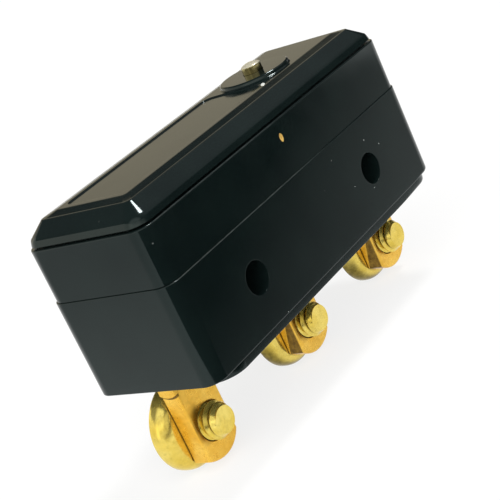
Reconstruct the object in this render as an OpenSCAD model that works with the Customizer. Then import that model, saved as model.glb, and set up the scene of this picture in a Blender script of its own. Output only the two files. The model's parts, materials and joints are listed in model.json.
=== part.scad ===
// Snap action switch with a pin plunger and three screw terminals.
// Origin midway between the two mounting holes, at mid width. X runs along the body
// towards the plunger end, Y across it towards the screw heads, Z up to the plunger.
// All sizes in millimetres.

/* [Housing] */
// Length of the body
body_length = 49.2; // [44.5:0.1:58]
// Width of the body across the mounting holes
body_width = 17.45; // [16:0.05:22]
// Plan radius of the body's upright corners
corner_r = 2; // [1.5:0.1:3]
// Mounting hole axis to the step under the base
axis_to_step = 5.6; // [4.5:0.1:8]
// Mounting hole axis up to the joint between base and upper housing
axis_to_joint = 5.8; // [5.4:0.1:8]
// Height of the upper housing
upper_height = 6.2; // [6:0.1:9]
// How far the upper housing sits inside the base's outline
upper_inset = 0.12; // [0.05:0.01:0.3]
// Thickness of the side walls
side_wall = 2.2; // [1.9:0.1:2.6]
// Thickness of the end walls
end_wall = 2.2; // [1.9:0.1:2.3]
// Mounting hole axis up to the floor of the cavity
axis_to_floor = 3.4; // [3.2:0.1:4]
// Height of the tongue that locates the upper housing
tongue_height = 1; // [0.6:0.1:1.5]
// Thickness of that tongue
tongue_wall = 0.9; // [0.6:0.05:1.1]
// Plan radius of the cavity's corners
cavity_corner_r = 1; // [0.5:0.1:1.5]

/* [Foot under the base] */
// Height of the foot
foot_height = 0.95; // [0.5:0.05:2]
// Step in from the body at the common end
foot_near_inset = 2.3; // [0.5:0.1:2.4]
// Step in from the body at the plunger end
foot_far_inset = 1.7; // [0.5:0.1:2.2]
// Step in from the body at the sides
foot_side_inset = 0.2; // [0.1:0.05:1]

/* [Mounting holes] */
// Distance between the two holes
hole_spacing = 25.4; // [23:0.1:28]
// Diameter of each hole
hole_d = 3.7; // [3:0.1:4.2]

/* [Top cover] */
// Height of the groove between cover and upper housing
groove_height = 0.2; // [0.1:0.05:0.8]
// Depth of that groove, in from the lip
groove_depth = 0.6; // [0.3:0.05:0.8]
// How far the cover's lip sits inside the body's outline
cover_inset = 0.3; // [0.1:0.05:0.5]
// Height of the upright lip
lip_height = 0.55; // [0.3:0.05:1]
// Height of the sloped sides
slope_height = 1.65; // [1:0.05:2.5]
// How far the sloped sides run in
slope_run = 1.9; // [1:0.1:2.2]
// Width of the ledge round the raised panel
ledge_width = 0.2; // [0.1:0.05:0.6]
// Height of the raised panel above the ledge
panel_height = 0.3; // [0.2:0.05:0.8]
// How far the panel's bevelled edge runs in
panel_bevel = 1.2; // [0.6:0.05:1.3]
// Plan radius of the ledge's corners
ledge_corner_r = 0.7; // [0.5:0.1:1.8]
// Plan radius of the panel's corners
panel_corner_r = 0.5; // [0.3:0.1:1.4]
// Depth of the shallow field in the panel
field_depth = 0.14; // [0.05:0.01:0.25]
// Margin of the field from the panel's edge
field_margin = 0.7; // [0.4:0.05:1.2]
// Distance of the field's end from the boss
field_boss_gap = 0.2; // [0.1:0.05:1]
// Plan radius of the field's corners
field_corner_r = 1.2; // [0.5:0.1:2]
// Thickness of the cover under the panel
cover_wall = 2.1; // [1.7:0.1:2.4]
// Depth of the spigot inside the upper housing
spigot_depth = 1; // [0.6:0.1:1.2]
// Thickness of the spigot
spigot_wall = 1.6; // [1.2:0.1:1.8]

/* [Plunger] */
// Plunger axis to the body's end
plunger_end_inset = 13.7; // [13:0.1:15.5]
// Diameter of the pin
plunger_d = 2.4; // [2:0.1:3]
// Height of the pin's straight side above its boss
plunger_stand = 0.85; // [0.7:0.05:2]
// Height of the pin's domed tip
plunger_dome = 0.35; // [0.1:0.05:0.6]
// Full travel of the plunger
plunger_travel = 0.5; // [0.3:0.05:0.5]
// Diameter of the boss round the plunger
boss_d = 8.6; // [7:0.1:9.6]
// Height of the boss above the panel
boss_height = 0.5; // [0.3:0.05:1]
// Diameter of the guide under the cover
guide_d = 5.6; // [5:0.1:6]
// Length of the guide below the cover's underside
guide_length = 1.1; // [0.8:0.1:1.3]
// Diameter of the insulating button's stem
button_d = 3.8; // [3.4:0.1:4]
// Diameter of the button's stop flange
flange_d = 5.2; // [4.8:0.1:5.6]
// Thickness of the stop flange
flange_height = 0.7; // [0.5:0.05:1]
// Diameter of the flat at the button's nose
nose_d = 1.6; // [1:0.1:2]
// How far the pin reaches down into the button
pin_seat_depth = 1.9; // [1.2:0.1:2.2]

/* [Snap blade] */
// Thickness of the blade
blade_t = 0.3; // [0.2:0.02:0.4]
// Height of the blade's middle above the cavity floor
blade_rise = 3.9; // [3.8:0.05:4.1]
// Overall width of the blade
blade_width = 8.4; // [7.6:0.1:9]
// Width of the middle, tension leg
tension_leg_width = 2.6; // [2:0.1:3]
// Width of each bowed leg
bow_leg_width = 2; // [1.4:0.1:2]
// Height of the bow
bow_rise = 1.3; // [0.8:0.1:1.4]
// Length of the root pad
root_pad_length = 4.4; // [3.6:0.1:4.8]
// Width of the root pad
root_pad_width = 4.4; // [3.6:0.1:5]
// Length of the blade's free end, from the moving contact back to the bowed legs
head_back = 2.6; // [2:0.1:3]
// Length of the blade's free end, from the moving contact to its tip
head_front = 1.5; // [1.4:0.1:1.8]

/* [Contacts] */
// Diameter of the contact faces
contact_d = 2.2; // [1.8:0.1:2.4]
// Height of each contact face above what carries it
contact_height = 0.6; // [0.4:0.05:0.65]
// Diameter of the contacts' shanks
contact_shank_d = 1.3; // [1:0.1:1.4]
// Length of the fixed contacts' shanks
contact_shank_length = 1; // [0.6:0.1:1.2]
// The moving contact's axis to the axis of the plunger-end terminal
contact_back = 4.6; // [4.4:0.1:4.8]

/* [Anchor] */
// Thickness of the anchor plate
anchor_t = 1.2; // [1:0.1:1.4]
// Width of the anchor plate
anchor_width = 9.4; // [9.2:0.1:10.4]
// Height of the anchor's posts above the blade
anchor_post_rise = 1.5; // [1:0.1:2]
// Depth of the groove that holds the anchor in the floor
anchor_seat_depth = 0.8; // [0.5:0.1:0.8]
// Radius of the notches the bowed legs bear in
notch_r = 0.5; // [0.45:0.05:0.6]
// How far the legs reach into the notches
notch_reach = 0.25; // [0.2:0.05:0.3]
// Blade root axis to the anchor's notched face
root_to_anchor = 6.5; // [6.4:0.1:7]

/* [Blade rivet] */
// Diameter of the rivet's shank
rivet_d = 1.2; // [1:0.1:1.3]
// Diameter of the rivet's head
rivet_head_d = 2.6; // [2:0.1:3]
// Height of the rivet's head
rivet_head_height = 0.5; // [0.3:0.05:0.8]

/* [Terminals] */
// Screw axis of the end terminals to the body's end
terminal_end_inset = 4.4; // [4.2:0.1:4.8]
// Screw axis of the middle terminal, from mid length
middle_terminal_x = 0.2; // [-0.5:0.1:0.5]
// Mounting hole axis down to the screw axes
axis_to_screws = 12.1; // [11.5:0.1:15]
// Width of the plates
plate_width = 5.7; // [5:0.1:6]
// Thickness of the plates
plate_t = 2.25; // [2:0.05:2.5]
// Radius of the plates' ends about the screw axis
plate_end_r = 4; // [3.4:0.1:4.6]
// How far the stakes under the base stand out of the plates' edges
stake_stand = 0.25; // [0.1:0.05:0.4]
// Height of the stakes' sides below the foot
stake_height = 0.4; // [0.2:0.05:0.6]
// How far the stakes bulge down between their sides
stake_bow = 0.3; // [0.1:0.05:0.5]
// Width of the stems inside the base
stem_width = 3.8; // [3.4:0.1:4]
// Height of the common terminal's arm
common_arm_height = 1.8; // [1.4:0.1:2]
// How far the common terminal's arm reaches past the blade's root axis
common_arm_reach = 2.8; // [2.4:0.1:3]
// Common screw axis to the blade's root axis
root_x_offset = 3.2; // [3:0.1:3.4]
// Height of the normally closed terminal's arm
closed_arm_height = 1.6; // [1.2:0.1:1.8]
// How far the contact arms reach past the contacts' axis
contact_arm_reach = 1.4; // [1.3:0.1:1.5]

/* [Terminal screws] */
// Diameter over the screw's thread
screw_d = 4.2; // [3.8:0.1:4.4]
// Length of the screw under its head
screw_length = 4.75; // [4.2:0.05:6]
// How far the screw's tip tapers in
screw_taper = 0.6; // [0.2:0.05:0.8]
// Length of that taper
screw_taper_length = 1.05; // [0.4:0.05:1.4]
// Diameter of the head
screw_head_d = 7; // [6:0.1:7.4]
// Height of the head
screw_head_height = 2; // [1.6:0.1:2.4]
// Radius of the head's rounded edge
screw_head_edge_r = 0.8; // [0.4:0.1:1.2]
// Width of the driver slot
slot_width = 0.95; // [0.7:0.05:1.2]
// Depth of the driver slot
slot_depth = 1; // [0.6:0.05:1.2]
// Turn of the common screw's slot
common_slot_turn = 20; // [-90:5:90]
// Turn of the normally open screw's slot
open_slot_turn = -35; // [-90:5:90]
// Turn of the normally closed screw's slot
closed_slot_turn = 65; // [-90:5:90]

/* [Cup washers] */
// Diameter over the cup
cup_d = 10.3; // [9.6:0.1:10.8]
// Thickness of the cup's metal
cup_t = 0.6; // [0.4:0.05:0.7]
// Outer radius of the bend from the flat to the rim
cup_bend_r = 1.65; // [1.2:0.05:1.8]
// Height of the cup
cup_height = 2.15; // [1.85:0.05:2.4]
// Diameter of the hole for the screw
cup_hole_d = 4.6; // [4.5:0.1:4.8]

/* [Clearances] */
// Gap between fixed pieces that fit into each other
fit_gap = 0.05; // [0.02:0.01:0.08]
// Radial gap of the plunger and the screws in their bores
run_gap = 0.04; // [0.02:0.01:0.08]
// Gap of the blade above and below at its root
flex_gap = 0.05; // [0.045:0.005:0.06]
// Radial gap of the blade's root hole round the rivet
root_hole_gap = 0.1; // [0.05:0.01:0.2]
// Gap between pieces that bear on each other and move
bear_gap = 0.03; // [0.02:0.005:0.04]
// Radial gap of a pressed-in shank
press_gap = 0.01; // [0.005:0.005:0.02]

/* [Hidden] */
$fn = 64;
// Overlap used where two shapes of one piece are joined or cut through
lap = 0.2;
// Thickness of the thin slices that sloped sides are stretched between
slice = 0.01;
// Facets round the corners of those slices
slice_fn = 48;

// Heights of the layers
step_z = -axis_to_step;
foot_z = step_z - foot_height;
floor_z = axis_to_floor;
joint_z = axis_to_joint;
upper_z = joint_z + upper_height;
lip_z = upper_z + groove_height;
slope_z = lip_z + lip_height;
ledge_z = slope_z + slope_height;
panel_z = ledge_z + panel_height;
boss_z = panel_z + boss_height;
spigot_z = upper_z - spigot_depth;
pocket_z = panel_z - cover_wall;
guide_z = pocket_z - guide_length;

// Plan sizes
body_size = [body_length, body_width];
cavity_size = [body_length - 2 * end_wall, body_width - 2 * side_wall];
lip_size = grown(body_size, -cover_inset);
ledge_size = grown(lip_size, -slope_run);
panel_size = grown(ledge_size, -ledge_width - panel_bevel);
foot_size = [body_length - foot_near_inset - foot_far_inset, body_width - 2 * foot_side_inset];
foot_x = (foot_near_inset - foot_far_inset) / 2;

// Places along the body
common_x = -body_length / 2 + terminal_end_inset;
closed_x = body_length / 2 - terminal_end_inset;
plunger_x = body_length / 2 - plunger_end_inset;
root_x = common_x + root_x_offset;
contact_x = closed_x - contact_back;
anchor_face_x = root_x + root_to_anchor;
leg_tip_x = anchor_face_x - notch_reach;
leg_start_x = contact_x - head_back;
field_start_x = -panel_size[0] / 2 + field_margin;
field_end_x = plunger_x - boss_d / 2 - field_boss_gap;

// How far the moving contact's outer edge drops when the plunger is fully down
contact_drop = plunger_travel * (contact_x + contact_d / 2 - root_x) / (plunger_x - root_x);

// Heights of the mechanism
blade_z = floor_z + blade_rise;
blade_top_z = blade_z + blade_t / 2;
blade_under_z = blade_z - blade_t / 2;
common_arm_z = blade_under_z - flex_gap;
moving_top_z = blade_top_z + contact_height;
moving_under_z = blade_under_z - contact_height;
closed_face_z = moving_top_z + bear_gap;
closed_arm_z = closed_face_z + contact_height;
open_face_z = moving_under_z - contact_drop - bear_gap;
open_arm_z = open_face_z - contact_height;
flange_top_z = guide_z - bear_gap;
flange_under_z = flange_top_z - flange_height;
pin_foot_z = flange_top_z - pin_seat_depth;
button_tip_z = blade_top_z + bear_gap;
pin_side_z = boss_z + plunger_stand;

// Places of the terminal hardware along Y
cup_seat_y = plate_t / 2;
head_seat_y = cup_seat_y + cup_t + bear_gap;
screw_z = -axis_to_screws;

// Looks
black = [0.06, 0.07, 0.07];
nickel = [0.72, 0.70, 0.62];
phenolic = [0.35, 0.20, 0.10];
brass = [0.85, 0.65, 0.28];
screw_brass = [0.86, 0.78, 0.45];
spring_copper = [0.78, 0.52, 0.30];
silver = [0.85, 0.85, 0.86];

// A plan size made larger by the same amount on every side
function grown(size, by) = [size[0] + 2 * by, size[1] + 2 * by];

// Radius of an arc from its chord and its rise
function bow_radius(chord, rise) = (chord * chord / 4 + rise * rise) / (2 * rise);

// Rectangle with rounded corners, centred
module rounded_rect(size, r) {
    square([size[0] - 2 * r, size[1]], center = true);
    square([size[0], size[1] - 2 * r], center = true);
    for (sx = [-1, 1])
        for (sy = [-1, 1])
            translate([sx * (size[0] / 2 - r), sy * (size[1] / 2 - r)])
                circle(r);
}

// Rounded block between two heights
module slab(size, r, z0, z1) {
    translate([0, 0, z0])
        linear_extrude(z1 - z0)
            rounded_rect(size, r);
}

// Block whose sides slope from one rounded outline in to a smaller one above it
module sloped_block(low_size, low_r, z0, z1, high_size, high_r, z2) {
    hull() {
        slab(low_size, low_r, z0, z1, $fn = slice_fn);
        slab(high_size, high_r, z2 - slice, z2, $fn = slice_fn);
    }
}

// Upright cylinder between two heights
module post(x, d, z0, z1) {
    translate([x, 0, z0])
        cylinder(d = d, h = z1 - z0);
}

// Outline drawn in X and Z, given a thickness across Y
module across(t) {
    rotate([90, 0, 0])
        linear_extrude(t, center = true)
            children();
}

// Outline drawn in radius and height, spun about a screw axis
module about_screw_axis(x, y) {
    translate([x, y, screw_z])
        rotate([-90, 0, 0])
            rotate_extrude()
                children();
}

module top_cover() {
    color(black)
        difference() {
            union() {
                slab(grown(lip_size, -groove_depth), corner_r, upper_z, lip_z + lap);
                sloped_block(lip_size, corner_r, lip_z, slope_z, ledge_size, ledge_corner_r, ledge_z);
                sloped_block(grown(panel_size, panel_bevel), ledge_corner_r, ledge_z - lap, ledge_z,
                    panel_size, panel_corner_r, panel_z);
                post(plunger_x, boss_d, panel_z - lap, boss_z);
                slab(grown(cavity_size, -fit_gap), cavity_corner_r, spigot_z, upper_z + lap);
                post(plunger_x, guide_d, guide_z, pocket_z + lap);
            }
            cover_pocket();
            panel_field();
            post(plunger_x, plunger_d + 2 * run_gap, guide_z - lap, boss_z + lap);
        }
}

// Hollow under the cover, with the plunger's guide left standing in it
module cover_pocket() {
    difference() {
        slab(grown(cavity_size, -spigot_wall), cavity_corner_r, spigot_z - lap, pocket_z);
        post(plunger_x, guide_d, guide_z, pocket_z + lap);
    }
}

// Shallow field sunk in the raised panel, from the common end up to the boss
module panel_field() {
    translate([(field_start_x + field_end_x) / 2, 0, 0])
        slab([field_end_x - field_start_x, panel_size[1] - 2 * field_margin], field_corner_r,
            panel_z - field_depth, panel_z + lap);
}

module upper_housing() {
    color(black)
        difference() {
            slab(grown(body_size, -upper_inset), corner_r, joint_z, upper_z);
            slab(cavity_size, cavity_corner_r, joint_z - lap, upper_z + lap);
            slab(grown(cavity_size, tongue_wall + fit_gap), cavity_corner_r + tongue_wall + fit_gap,
                joint_z - lap, joint_z + tongue_height + fit_gap);
        }
}

module base_housing() {
    color(black)
        difference() {
            union() {
                slab(body_size, corner_r, step_z, joint_z);
                slab(grown(cavity_size, tongue_wall), cavity_corner_r + tongue_wall,
                    joint_z - lap, joint_z + tongue_height);
                foot();
            }
            slab(cavity_size, cavity_corner_r, floor_z, joint_z + tongue_height + lap);
            mounting_holes();
            for (x = [common_x, middle_terminal_x, closed_x])
                terminal_slot(x);
            anchor_groove();
        }
}

// Plate under the base that the terminals stand out of
module foot() {
    translate([foot_x, 0, 0])
        slab(foot_size, corner_r, foot_z, step_z + lap);
}

module mounting_holes() {
    for (sx = [-1, 1])
        translate([sx * hole_spacing / 2, 0, 0])
            rotate([90, 0, 0])
                cylinder(d = hole_d, h = body_width + 2 * lap, center = true);
}

module terminal_slot(x) {
    slot = [stem_width + 2 * fit_gap, plate_t + 2 * fit_gap];
    translate([x - slot[0] / 2, -slot[1] / 2, foot_z - lap])
        cube([slot[0], slot[1], floor_z - foot_z + 2 * lap]);
}

module anchor_groove() {
    translate([anchor_face_x - anchor_t - fit_gap, -anchor_width / 2 - fit_gap, floor_z - anchor_seat_depth])
        cube([anchor_t + 2 * fit_gap, anchor_width + 2 * fit_gap, anchor_seat_depth + lap]);
}

// Turned pin with a domed tip
module plunger_pin() {
    r = plunger_d / 2;
    dome_r = bow_radius(plunger_d, plunger_dome);
    color(nickel)
        translate([plunger_x, 0, 0])
            rotate_extrude() {
                translate([0, pin_foot_z])
                    square([r, pin_side_z - pin_foot_z]);
                intersection() {
                    translate([0, pin_side_z + plunger_dome - dome_r])
                        circle(dome_r);
                    translate([0, pin_foot_z])
                        square([r, pin_side_z + plunger_dome - pin_foot_z]);
                }
            }
}

module plunger_button() {
    stem_r = button_d / 2;
    nose_r = nose_d / 2;
    seat_r = plunger_d / 2 + press_gap;
    nose_height = stem_r - nose_r;
    color(phenolic)
        translate([plunger_x, 0, 0])
            rotate_extrude()
                polygon([
                    [0, button_tip_z], [nose_r, button_tip_z], [stem_r, button_tip_z + nose_height],
                    [stem_r, flange_under_z], [flange_d / 2, flange_under_z], [flange_d / 2, flange_top_z],
                    [seat_r, flange_top_z], [seat_r, pin_foot_z], [0, pin_foot_z]
                ]);
}

module snap_blade() {
    color(spring_copper)
        difference() {
            union() {
                blade_strip(root_x - root_pad_length / 2, root_x + root_pad_length / 2, root_pad_width);
                blade_strip(root_x, contact_x, tension_leg_width);
                blade_strip(leg_start_x, contact_x + head_front, blade_width);
                for (side = [-1, 1])
                    bowed_leg(side);
            }
            post(root_x, rivet_d + 2 * root_hole_gap, blade_z - blade_t, blade_z + blade_t);
            contact_hole(blade_z - blade_t, blade_z + blade_t);
        }
}

// Flat stretch of the blade between two places along it
module blade_strip(x0, x1, width) {
    translate([x0, -width / 2, blade_under_z])
        cube([x1 - x0, width, blade_t]);
}

// One outer leg, bowed up between the anchor's notch and the blade's free end
module bowed_leg(side) {
    span = leg_start_x - leg_tip_x;
    bow_r = bow_radius(span, bow_rise);
    mid_y = side * (blade_width - bow_leg_width) / 2;
    mid_x = (leg_start_x + leg_tip_x) / 2;
    intersection() {
        translate([mid_x, mid_y, blade_z + bow_rise - bow_r])
            rotate([90, 0, 0])
                difference() {
                    cylinder(r = bow_r + blade_t / 2, h = bow_leg_width, center = true);
                    cylinder(r = bow_r - blade_t / 2, h = bow_leg_width + lap, center = true);
                }
        translate([leg_tip_x, mid_y - bow_leg_width, blade_z - blade_t])
            cube([span + lap, 2 * bow_leg_width, bow_rise + 2 * blade_t]);
    }
}

module moving_contact() {
    color(silver) {
        post(contact_x, contact_shank_d, blade_under_z - lap, blade_top_z + lap);
        post(contact_x, contact_d, blade_top_z, moving_top_z);
        post(contact_x, contact_d, moving_under_z, blade_under_z);
    }
}

module blade_rivet() {
    head_z = blade_top_z + flex_gap;
    color(brass) {
        post(root_x, rivet_d, common_arm_z - common_arm_height, head_z + lap);
        post(root_x, rivet_head_d, head_z, head_z + rivet_head_height);
    }
}

// Stamped plate with two posts, set in the floor, open in the middle for the tension leg
module spring_anchor() {
    foot_of_plate = floor_z - anchor_seat_depth;
    gap_width = tension_leg_width + 2 * notch_r;
    gap_z = blade_under_z - anchor_post_rise;
    color(brass)
        difference() {
            translate([anchor_face_x - anchor_t, -anchor_width / 2, foot_of_plate])
                cube([anchor_t, anchor_width, blade_z + anchor_post_rise - foot_of_plate]);
            translate([anchor_face_x - anchor_t - lap, -gap_width / 2, gap_z])
                cube([anchor_t + 2 * lap, gap_width, 2 * anchor_post_rise + blade_t + lap]);
            translate([anchor_face_x, 0, blade_z])
                rotate([90, 0, 0])
                    cylinder(r = notch_r, h = anchor_width + 2 * lap, center = true);
        }
}

// Outline of a terminal: plate below the base, ending in an arc about the screw, and stem up to a height
module terminal_outline(x, stem_top_z) {
    translate([x - plate_width / 2, screw_z])
        square([plate_width, foot_z - screw_z]);
    intersection() {
        translate([x, screw_z])
            circle(plate_end_r);
        translate([x - plate_width / 2, screw_z - plate_end_r])
            square([plate_width, plate_end_r + lap]);
    }
    translate([x - stem_width / 2, foot_z - lap])
        square([stem_width, stem_top_z - foot_z + lap]);
}

// Half-moon shoulders pressed out of a plate's two edges, up to the base beside the foot
module stakes(x) {
    side_z = foot_z - stake_height;
    stake_r = bow_radius(plate_t, stake_bow);
    difference() {
        translate([x, 0, 0])
            rotate([90, 0, 90])
                linear_extrude(plate_width + 2 * stake_stand, center = true) {
                    translate([-plate_t / 2, side_z])
                        square([plate_t, step_z - side_z]);
                    intersection() {
                        translate([0, side_z - stake_bow + stake_r])
                            circle(stake_r);
                        translate([-plate_t / 2, side_z - stake_bow])
                            square([plate_t, stake_bow + lap]);
                    }
                }
        translate([foot_x, 0, 0])
            slab(grown(foot_size, fit_gap), corner_r + fit_gap, foot_z, step_z + lap);
    }
}

module arm_outline(x0, x1, z0, z1) {
    translate([x0, z0])
        square([x1 - x0, z1 - z0]);
}

module tapped_hole(x) {
    translate([x, 0, screw_z])
        rotate([90, 0, 0])
            cylinder(d = screw_d + 2 * run_gap, h = plate_t + 2 * lap, center = true);
}

// Seat of a contact's shank
module contact_hole(z0, z1) {
    post(contact_x, contact_shank_d + 2 * press_gap, z0, z1);
}

module common_terminal() {
    arm_under_z = common_arm_z - common_arm_height;
    color(brass)
        difference() {
            union() {
                across(plate_t) {
                    terminal_outline(common_x, common_arm_z);
                    arm_outline(common_x, root_x + common_arm_reach, arm_under_z, common_arm_z);
                }
                stakes(common_x);
            }
            tapped_hole(common_x);
            post(root_x, rivet_d + 2 * press_gap, arm_under_z - lap, common_arm_z + lap);
        }
}

module normally_open_terminal() {
    color(brass)
        difference() {
            union() {
                across(plate_t) {
                    terminal_outline(middle_terminal_x, open_arm_z);
                    arm_outline(middle_terminal_x, contact_x + contact_arm_reach, floor_z, open_arm_z);
                }
                stakes(middle_terminal_x);
            }
            tapped_hole(middle_terminal_x);
            contact_hole(open_arm_z - contact_shank_length, open_arm_z + lap);
        }
}

module normally_closed_terminal() {
    arm_top_z = closed_arm_z + closed_arm_height;
    color(brass)
        difference() {
            union() {
                across(plate_t) {
                    terminal_outline(closed_x, arm_top_z);
                    arm_outline(contact_x - contact_arm_reach, closed_x, closed_arm_z, arm_top_z);
                }
                stakes(closed_x);
            }
            tapped_hole(closed_x);
            contact_hole(closed_arm_z - lap, closed_arm_z + contact_shank_length);
        }
}

module normally_open_contact() {
    color(silver) {
        post(contact_x, contact_d, open_arm_z, open_face_z);
        post(contact_x, contact_shank_d, open_arm_z - contact_shank_length, open_arm_z + lap);
    }
}

module normally_closed_contact() {
    color(silver) {
        post(contact_x, contact_d, closed_face_z, closed_arm_z);
        post(contact_x, contact_shank_d, closed_arm_z - lap, closed_arm_z + contact_shank_length);
    }
}

// Dished washer with its flat on the plate and its rim turned up round the screw's head
module cup_washer(x) {
    outer_r = cup_d / 2;
    color(screw_brass)
        about_screw_axis(x, cup_seat_y)
            difference() {
                cup_outline(outer_r, cup_bend_r, 0, cup_height);
                cup_outline(outer_r - cup_t, cup_bend_r - cup_t, cup_t, cup_height + lap);
                square([cup_hole_d / 2, cup_height + lap]);
            }
}

// Half section of a round dish with a rounded lower edge
module cup_outline(r, bend_r, z0, z1) {
    translate([0, z0])
        square([r - bend_r, z1 - z0]);
    translate([0, z0 + bend_r])
        square([r, z1 - z0 - bend_r]);
    intersection() {
        translate([r - bend_r, z0 + bend_r])
            circle(bend_r);
        translate([r - bend_r, z0])
            square([bend_r, bend_r]);
    }
}

module terminal_screw(x, slot_angle) {
    head_r = screw_head_d / 2;
    shank_r = screw_d / 2;
    taper_y = screw_taper_length - screw_length;
    color(screw_brass)
        difference() {
            about_screw_axis(x, head_seat_y) {
                translate([0, taper_y])
                    square([shank_r, lap - taper_y]);
                polygon([
                    [0, -screw_length], [shank_r - screw_taper, -screw_length],
                    [shank_r, taper_y], [0, taper_y]
                ]);
                square([head_r, screw_head_height - screw_head_edge_r]);
                square([head_r - screw_head_edge_r, screw_head_height]);
                translate([head_r - screw_head_edge_r, screw_head_height - screw_head_edge_r])
                    circle(screw_head_edge_r);
            }
            translate([x, head_seat_y + screw_head_height - slot_depth, screw_z])
                rotate([0, slot_angle, 0])
                    translate([-screw_head_d, 0, -slot_width / 2])
                        cube([2 * screw_head_d, slot_depth + lap, slot_width]);
        }
}

module common_cup_washer() { cup_washer(common_x); }
module normally_open_cup_washer() { cup_washer(middle_terminal_x); }
module normally_closed_cup_washer() { cup_washer(closed_x); }
module common_screw() { terminal_screw(common_x, common_slot_turn); }
module normally_open_screw() { terminal_screw(middle_terminal_x, open_slot_turn); }
module normally_closed_screw() { terminal_screw(closed_x, closed_slot_turn); }

top_cover();
upper_housing();
base_housing();
plunger_pin();
plunger_button();
snap_blade();
moving_contact();
blade_rivet();
spring_anchor();
common_terminal();
normally_open_terminal();
normally_closed_terminal();
normally_open_contact();
normally_closed_contact();
common_cup_washer();
normally_open_cup_washer();
normally_closed_cup_washer();
common_screw();
normally_open_screw();
normally_closed_screw();
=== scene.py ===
import json
import math

import bmesh
import bpy
from mathutils import Matrix, Vector


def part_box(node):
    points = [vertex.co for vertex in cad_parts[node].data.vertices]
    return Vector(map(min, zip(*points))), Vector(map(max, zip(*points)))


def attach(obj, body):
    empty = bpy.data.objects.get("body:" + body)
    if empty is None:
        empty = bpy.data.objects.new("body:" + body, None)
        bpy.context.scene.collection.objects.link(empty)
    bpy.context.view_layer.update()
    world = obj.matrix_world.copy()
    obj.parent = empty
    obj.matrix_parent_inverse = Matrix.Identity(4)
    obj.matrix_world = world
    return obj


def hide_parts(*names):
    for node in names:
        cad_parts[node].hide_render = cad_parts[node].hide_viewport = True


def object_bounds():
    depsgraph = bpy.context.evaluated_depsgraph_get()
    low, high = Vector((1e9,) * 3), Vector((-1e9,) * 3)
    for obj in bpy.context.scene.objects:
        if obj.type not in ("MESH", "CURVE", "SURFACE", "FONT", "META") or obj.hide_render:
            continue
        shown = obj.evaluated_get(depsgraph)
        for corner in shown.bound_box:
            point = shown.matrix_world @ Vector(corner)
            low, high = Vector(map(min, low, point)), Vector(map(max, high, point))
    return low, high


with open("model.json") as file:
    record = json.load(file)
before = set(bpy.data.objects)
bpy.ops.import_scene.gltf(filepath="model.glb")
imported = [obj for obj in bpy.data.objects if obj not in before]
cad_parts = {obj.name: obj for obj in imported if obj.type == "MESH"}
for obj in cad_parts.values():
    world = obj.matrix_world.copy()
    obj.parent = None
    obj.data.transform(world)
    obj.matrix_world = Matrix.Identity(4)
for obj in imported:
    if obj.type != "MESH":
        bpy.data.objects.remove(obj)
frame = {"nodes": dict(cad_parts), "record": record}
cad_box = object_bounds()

# Sizes are in millimetres, in the part's frame, and become metres when a mesh or a mask is made.
MM = 0.001

# Case
HALF_X, HALF_Y, CORNER_R = 24.6, 8.725, 2.0
FOOT_Z, STEP_Z, CAVITY_Z, JOINT_Z, UPPER_Z = -6.55, -5.6, 3.4, 5.8, 12.0
FOOT_HALF_X, FOOT_HALF_Y, FOOT_X, FOOT_R = 23.25, 8.525, 0.95, 3.0
# Rounding of a wall's lower edge: least, most, and the two places along the case between which it grows
FOOT_EASE = (0.06, 0.50, 15.5, 23.0)
BASE_EASE = (0.12, 0.45, 20.0, 24.0)
UPPER_EASE = (0.06, 0.06, 0.0, 1.0)
# Rounding of a wall's upper edge
FOOT_BRIM_R, BASE_BRIM_R, UPPER_BRIM_R = 0.0, 0.1, 0.16
# Extra points along the long sides of the base, where the rounding grows
STATIONS = (13.0, 15.0, 17.0, 18.5, 19.7, 20.7)
CAVITY_X, CAVITY_Y, CAVITY_R = 22.4, 6.525, 1.0
TONGUE_WALL, TONGUE_HEIGHT, FIT = 0.9, 1.0, 0.05
UPPER_INSET = 0.12
HOLE_X, HOLE_R, HOLE_EDGE = 12.7, 1.85, 0.04
ANCHOR_X, ANCHOR_T, ANCHOR_HALF_Y, ANCHOR_DEPTH = -10.5, 1.2, 4.7, 0.8

# Cover
LIP_INSET = 0.3
LIP_X, LIP_Y = HALF_X - LIP_INSET, HALF_Y - LIP_INSET
LIP_Z, SLOPE_Z, LEDGE_Z, PANEL_Z, BOSS_Z = 12.2, 12.75, 14.4, 14.7, 15.2
NECK_INSET, SLOPE_RUN, LEDGE_WIDTH, PANEL_BEVEL = 0.6, 1.9, 0.2, 1.2
LEDGE_R, PANEL_R = 0.7, 0.5
FIELD_MARGIN, FIELD_DEPTH, FIELD_R, FIELD_END_X = 0.7, 0.14, 1.2, 6.4
SPIGOT_Z, SPIGOT_WALL, POCKET_Z, GUIDE_Z = 11.0, 1.6, 12.6, 11.5
BOSS_R, GUIDE_R, RUN_GAP = 4.3, 2.8, 0.04
# Shares of the way up the slope at which it has a ring
SLOPE_SHARES = (0.12, 0.3, 0.6, 0.94)
# Fine roundings along the cover's edges, one row per ring: distance in from the edge, how much smaller the
# corner's radius is, and height over the edge
LIP_ROUND = ((0.08, 0.08, 0.0), (0.02, 0.02, 0.02), (0.0, 0.0, 0.06))
SLOPE_ROUND = ((0.12, 0.1, -0.05), (0.15, 0.11, 0.03))
LEDGE_ROUND = ((-0.03, 0.0, -0.02), (0.06, 0.0, 0.0))
BEVEL_ROUND = ((-0.04, 0.0, 0.012), (0.06, 0.0, 0.015))
PANEL_ROUND = ((-0.14, -0.05, -0.035), (-0.03, -0.01, -0.0135), (0.1, 0.0, 0.0))
FIELD_ROUND = ((-0.05, -0.05, 0.0), (-0.01, 0.0, -0.03),
               (0.02, 0.0, 0.03 - FIELD_DEPTH), (0.07, 0.0, -FIELD_DEPTH))
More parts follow.
